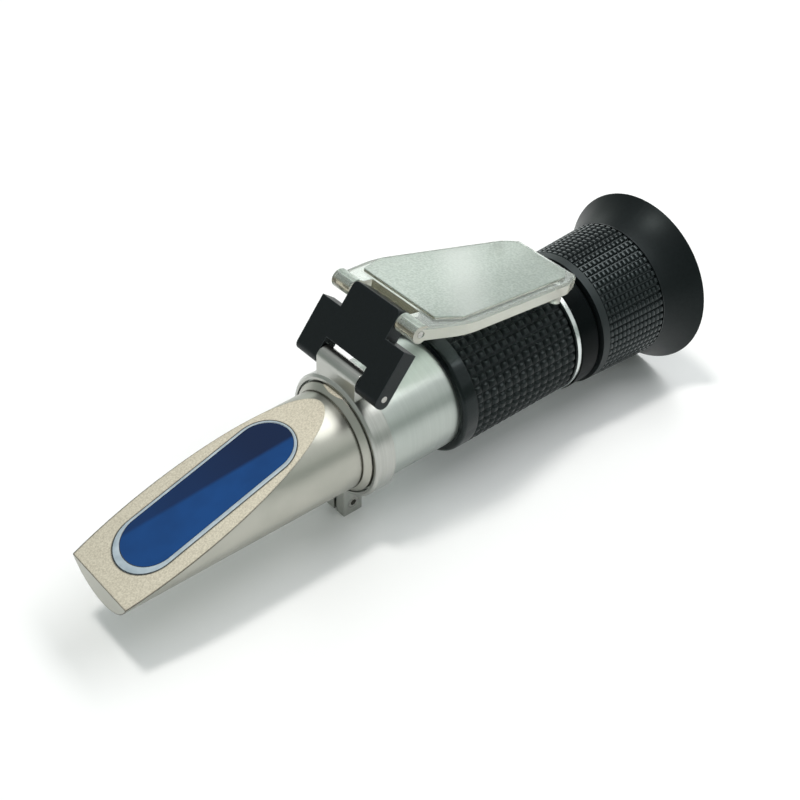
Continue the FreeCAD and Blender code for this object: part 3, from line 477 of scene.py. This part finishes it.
def makePlateMaterial(look):
    # cast acrylic, clear at its rim and frosted on the raised pad, which scatters light and
    # sparkles, with painted light and shade on its walls and a painted highlight band on the pad
    material, shader = newMaterial("clear and frosted acrylic", {"IOR": 1.49})
    place = addNode(material, "TexCoord")
    lean = math.radians(look["lean"])
    up = Vector((math.sin(lean), 0, math.cos(lean)))
    padTop = max(corner.co.dot(up) for corner in nodes["daylight_plate"].data.vertices)
    level = addNode(material, "VectorMath", {"operation": "DOT_PRODUCT", 1: up},
                    {0: (place, "Object")})
    frostStart, frostFull = [padTop - look["padRise"] * mm * share for share in look["padFade"]]
    onPad = addNode(material, "MapRange", {"From Min": frostStart, "From Max": frostFull},
                    {"Value": (level, "Value")})
    normal = addNode(material, "SeparateXYZ", {}, {"Vector": (place, "Normal")})
    sideways = addNode(material, "Math", {"operation": "ABSOLUTE"}, {0: (normal, "Y")})
    wallStart, wallFull = look["wallEdge"]
    onWall = addNode(material, "MapRange", {"From Min": wallStart, "From Max": wallFull},
                     {"Value": (sideways, "Value")})
    front = addNode(material, "VectorMath", {"operation": "DOT_PRODUCT", 1: (-up.z, 0, up.x)},
                    {0: (place, "Normal")})
    hingeStart, hingeFull = look["hingeWallEdge"]
    onHingeWall = addNode(material, "MapRange", {"From Min": hingeStart, "From Max": hingeFull},
                          {"Value": (front, "Value")})
    grain = addNode(material, "TexNoise",      # two grains to each cell of the noise
                    {"Scale": 0.5 / (look["frostGrain"] * mm), "Detail": 2.0},
                    {"Vector": (place, "Object")})
    frosted = addNode(material, "ValToRGB",
                      {"stops": [(0.35, look["frosted"]), (0.7, look["fleck"])]},
                      {"Fac": (grain, "Fac")})
    across = addNode(material, "VectorMath", {"operation": "DOT_PRODUCT", 1: look["bandAcross"]},
                     {0: (place, "Object")})
    plateStart, plateEnd = alongAxis("daylight_plate")
    centre = (plateStart + plateEnd) / 2 * mm * look["bandAcross"][0]
    offset = addNode(material, "Math", {"operation": "SUBTRACT", 1: centre}, {0: (across, "Value")})
    distance = addNode(material, "Math", {"operation": "ABSOLUTE"}, {0: (offset, "Value")})
    onHighlightBand = addNode(material, "MapRange",
                     {"interpolation_type": "SMOOTHSTEP", "From Min": look["bandWidth"] * mm,
                      "From Max": 0, "To Max": look["bandStrength"]},
                     {"Value": (distance, "Value")})
    pad = addNode(material, "Mix", {"data_type": "RGBA", 7: linearColour(look["band"])},
                  {0: (onHighlightBand, "Result"), 6: (frosted, "Color")})
    rim = addNode(material, "Mix", {"data_type": "RGBA", 6: linearColour(look["clear"]),
                                    7: linearColour(look["wall"])}, {0: (onWall, "Result")})
    rimAndWall = addNode(material, "Mix", {"data_type": "RGBA", 7: linearColour(look["hingeWallShade"])},
                         {0: (onHingeWall, "Result"), 6: (rim, 2)})
    tone = addNode(material, "Mix", {"data_type": "RGBA"},
                   {0: (onPad, "Result"), 6: (rimAndWall, 2), 7: (pad, 2)})
    rough = addNode(material, "MapRange", {"To Min": look["roughness"], "To Max": look["frost"]},
                    {"Value": (onPad, "Result")})
    rimThrough = addNode(material, "MapRange",
                         {"To Min": look["clearness"], "To Max": look["wallClearness"]},
                         {"Value": (onWall, "Result")})
    through = addNode(material, "Mix", {"data_type": "FLOAT", 3: look["padClearness"]},
                      {0: (onPad, "Result"), 2: (rimThrough, "Result")})
    depth = addNode(material, "MapRange",
                    {"To Min": look["smoothBump"], "To Max": look["frostBump"]},
                    {"Value": (onPad, "Result")})
    edge = addNode(material, "Bevel", {"samples": 6, "Radius": look["edgeRounding"] * mm})
    bump = addNode(material, "Bump", {"Distance": bumpHeight},
                   {"Height": (grain, "Fac"), "Strength": (depth, "Result"),
                    "Normal": (edge, "Normal")})
    plug(material, shader, {"Base Color": (tone, 2), "Roughness": (rough, "Result"),
                            "Transmission Weight": (through, 0), "Normal": (bump, "Normal")})
    return material


giveMaterial(["daylight_plate"], makePlateMaterial(plateLook))
print("hinge and plate finished")


sharpAngle = math.radians(40)                # steeper edges than this stay sharp


def knobSteps(count, profile):
    # places along one row of knobs, from 0 to 1, with the height of the knob there from 0 to 1
    steps = [((k + place) / count, height) for k in range(count) for place, height in profile]
    return np.array(steps).T


def turnedPiece(name, outline, look, body, material):
    # a closed outline of (x, radius) in mm turned round the axis, with knobs on one run of it
    turn, lift = knobSteps(look["around"], look["knob"])
    along, rise = knobSteps(look["along"], look["knob"])
    rows = []
    for index, (x, radius) in enumerate(outline):
        rows.append((x, np.full(len(turn), radius)))
        if index == look["knobsAfter"]:
            endX, endRadius = outline[index + 1]
            for place, height in zip(along, rise):
                top = radius + (endRadius - radius) * place
                sunk = look["depth"] * (1 - np.minimum(height, lift))
                rows.append((x + (endX - x) * place, top - sunk))
            rows.append((endX, np.full(len(turn), endRadius - look["depth"])))
    angles = turn * 2 * math.pi
    vertices = np.concatenate([
        np.stack([np.full(len(turn), x), r * np.sin(angles), r * np.cos(angles)], axis=1)
        for x, r in rows]) * mm
    vertices[:, 2] += axisHeight
    size = len(turn)
    faces = []
    for row in range(len(rows)):
        here, after = row * size, (row + 1) % len(rows) * size
        for k in range(size):
            n = (k + 1) % size
            faces.append((here + k, here + n, after + n, after + k))
    piece = newPiece(name, vertices.tolist(), faces, body, material)
    piece.data.polygons.foreach_set("use_smooth", [True] * len(piece.data.polygons))
    piece.data.set_sharp_from_angle(angle=sharpAngle)
    return piece


gripLook = {
    "around": 41, "along": 14,           # knobs round and along the sleeve, 2.5 mm by 2.4 mm each
    "lip": 4.4, "rear": 0.3,             # mm of smooth rubber before and behind the knobs
    "radius": 16.4, "bore": 14.55, "rounding": 1.0, "roundingSteps": 5,
    "depth": 0.75,                       # mm from a knob's top to the groove beside it
    # across one knob: share of the way, share of its height
    "knob": [(0, 0), (0.06, 0), (0.24, 0.88), (0.33, 1), (0.67, 1), (0.76, 0.88), (0.94, 0)],
    "knobsAfter": 7,                     # the outline's point where the knobs begin
    "colour": "#070C0C", "light": "#0C1212", "roughness": 0.38, "gloss": 0.34, "lipRoughness": 0.2,
    "grain": 0.2, "bump": 0.15,
}


def makeGrip(look):
    start, end = alongAxis("grip_sleeve")
    radius, rounding = look["radius"], look["rounding"]
    outline = [(start, look["bore"])]
    steps = look["roundingSteps"]
    for k in range(steps + 1):                # the lip's rounded front edge
        turn = math.pi / 2 * k / steps
        outline.append((start + rounding * (1 - math.cos(turn)),
                        radius - rounding * (1 - math.sin(turn))))
    outline += [(start + look["lip"], radius), (end - look["rear"], radius), (end, radius),
                (end, look["bore"])]
    material = makeBlackFinish("moulded black grip rubber", dict(look, lipEnd=start + look["lip"]))
    return turnedPiece("grip_skin", outline, look, "frame", material)


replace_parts(makeGrip(gripLook), "grip_sleeve")

focusLook = {
    "around": 58, "along": 13,           # knurls round and along the ring, 2.0 mm by 1.5 mm each
    "lip": 2.3, "rear": 0.2,             # mm of smooth metal before and behind the knurls
    "front": 17.7, "lipRise": 0.1, "back": 18.8, "bore": 15.08,   # radii, and the lip's rise, in mm
    "spigot": 15.8, "spigotLength": 4.5, "thread": 12.58,
    "web": 9.7,                          # mm from the spigot forward to the end of the thread's wall
    "undercut": 15.85, "undercutReach": (10.9, 12.1),     # room for the snap ring, before the spigot
    "depth": 0.6,                        # mm from a knurl's top to the groove beside it
    # across one knurl: share of the way, share of its height
    "knob": [(0, 0), (0.06, 0), (0.22, 0.95), (0.26, 1), (0.74, 1), (0.78, 0.95), (0.94, 0)],
    "knobsAfter": 2,                     # the outline's point where the knurls begin
    "colour": "#090E0F", "light": "#101516", "roughness": 0.24, "gloss": 0.5, "lipRoughness": 0.5,
    "grain": 0.1, "bump": 0.05, "edgeRounding": 0.05,
}


def makeFocusRing(look):
    start, end = alongAxis("focus_ring")
    shoulder = end - look["spigotLength"]
    front, back, bore, thread = look["front"], look["back"], look["bore"], look["thread"]
    web = shoulder - look["web"]
    undercutRear, undercutFront = [shoulder - reach for reach in look["undercutReach"]]
    outline = [(start, bore), (start, front), (start + look["lip"], front + look["lipRise"]),
               (shoulder - look["rear"], back), (shoulder, back), (shoulder, look["spigot"]),
               (end, look["spigot"]), (end, thread), (web, thread), (web, bore),
               (undercutRear, bore), (undercutRear, look["undercut"]),
               (undercutFront, look["undercut"]), (undercutFront, bore)]
    material = makeBlackFinish("black anodised knurled aluminium",
                               dict(look, lipEnd=start + look["lip"]))
    return turnedPiece("focus_skin", outline, look, "focus", material)


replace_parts(makeFocusRing(focusLook), "focus_ring")
print("grip and focusing ring finished")


# the cup's soft rubber is duller than the ring, the barrel's enamel is deep black and smooth, and
# the cells inside are matt so that no stray light shows in the optics
cupLook = {"colour": "#0A0E0F", "light": "#101415", "roughness": 0.42, "gloss": 0.22,
           "grain": 0.2, "bump": 0.12}
giveMaterial(["eyecup"], makeBlackFinish("moulded black cup rubber", cupLook))
collarLook = {"colour": "#050808", "light": "#080C0D", "roughness": 0.28, "gloss": 0.05,
              "grain": 0.1, "bump": 0.03}
giveMaterial(["eyepiece_barrel"], makeBlackFinish("gloss black enamel", collarLook))
blackCell = makeBlackFinish("matt black anodised aluminium", dict(collarLook, roughness=0.55))
giveMaterial(["objective_cell", "objective_retainer", "reticle_cell", "reticle_retainer",
              "lens_cell", "lens_spacer", "eye_lens_retainer", "friction_ring"], blackCell)


lensLook = {
    "glass": "#F7F8FC", "haze": "#EFF3F8", "coating": "#E2DCFA", "coatWeight": 0.2,
    "roughness": 0.02, "hazeSize": 16.7,      # mm
}


def makeLensGlass(look):
    # polished optical glass with a magnesium fluoride coating, which reflects faint purple
    material, shader = newMaterial("coated optical glass", {
        "Roughness": look["roughness"], "IOR": 1.52, "Transmission Weight": 1.0,
        "Coat Weight": look["coatWeight"], "Coat Tint": linearColour(look["coating"])})
    place = addNode(material, "TexCoord")
    haze = addNode(material, "TexNoise", {"Scale": 1 / (look["hazeSize"] * mm), "Detail": 2.0},
                   {"Vector": (place, "Object")})
    tint = addNode(material, "ValToRGB", {"stops": [(0.3, look["haze"]), (0.7, look["glass"])]},
                   {"Fac": (haze, "Fac")})
    plug(material, shader, {"Base Color": (tint, "Color")})
    return material


giveMaterial(["objective_crown_lens", "objective_flint_lens", "reticle", "field_lens", "eye_lens"],
             makeLensGlass(lensLook))
print("optics finished")


floorLook = {"colour": "#FCFCFC", "roughness": 0.9, "reach": 3}      # metres to each side
reach = floorLook["reach"]
floorMesh = bpy.data.meshes.new("floor")
corners = [(-reach, -reach, 0), (reach, -reach, 0), (reach, reach, 0), (-reach, reach, 0)]
floorMesh.from_pydata(corners, [], [(0, 1, 2, 3)])
floor = bpy.data.objects.new("floor", floorMesh)
bpy.context.scene.collection.objects.link(floor)
floorMesh.materials.append(newMaterial("white paper sweep", {
    "Base Color": linearColour(floorLook["colour"]), "Roughness": floorLook["roughness"],
    "Specular IOR Level": 0.0})[0])

# where each lamp stands in metres, its width along Y and along X, and its power in watts
lamps = {
    "ceilingLamp": {"place": (-0.125, 0.115, 0.90), "size": (0.12, 0.12), "power": 2.8,
                    "colour": "#FFFCF8"},
    "topPanel": {"place": (0.45, -0.07, 0.76), "size": (0.78, 0.26), "power": 3.2,
                 "colour": "#FFFFFF"},
    "sidePanel": {"place": (0.42, -0.72, 0.58), "size": (0.6, 0.6), "power": 0.6,
                  "colour": "#FFFFFF"},
    "backPanel": {"place": (0.72, 0.72, 0.28), "size": (0.8, 0.4), "power": 1.4,
                  "colour": "#FAFFFC"},
}
for name, lamp in lamps.items():
    data = bpy.data.lights.new(name, "AREA")
    data.shape = "RECTANGLE"
    data.size, data.size_y = lamp["size"]
    data.energy = lamp["power"]
    data.color = linearColour(lamp["colour"])[:3]
    light = bpy.data.objects.new(name, data)
    bpy.context.scene.collection.objects.link(light)
    light.location = lamp["place"]
    light.rotation_euler = (-Vector(lamp["place"])).to_track_quat("-Z", "Y").to_euler()
    light.visible_camera = False

# the room: a little paler overhead than at the horizon, and plain paper where it is seen directly
roomLook = {"sky": [(0.0, "#A0AAA4"), (0.35, "#A8B0AC"), (1.0, "#B4B8BA")], "paper": "#F6F7F6"}
world = bpy.data.worlds.new("studio")
world.use_nodes = True
bpy.context.scene.world = world
place = addNode(world, "TexCoord")
axes = addNode(world, "SeparateXYZ", {}, {"Vector": (place, "Generated")})
sky = addNode(world, "ValToRGB", {"stops": roomLook["sky"]}, {"Fac": (axes, "Z")})
ray = addNode(world, "LightPath")
seen = addNode(world, "Mix", {"data_type": "RGBA", 7: linearColour(roomLook["paper"])},
               {0: (ray, "Is Camera Ray"), 6: (sky, "Color")})
world.node_tree.links.new(seen.outputs[2], world.node_tree.nodes["Background"].inputs["Color"])

# the camera's place in metres, its turn in degrees, its lens in mm and its nearest view in metres
cameraSetup = {"place": (-0.16525, -0.18654, 0.23057), "turn": (50.335, -1.081, -40.585),
               "lens": 60.31, "near": 0.01}
cameraData = bpy.data.cameras.new("camera")
cameraData.lens = cameraSetup["lens"]
cameraData.clip_start = cameraSetup["near"]
camera = bpy.data.objects.new("camera", cameraData)
bpy.context.scene.collection.objects.link(camera)
camera.location = cameraSetup["place"]
camera.rotation_euler = [math.radians(a) for a in cameraSetup["turn"]]
bpy.context.scene.camera = camera

bpy.context.scene.view_settings.view_transform = "Standard"
print("stage, lights and camera ready")
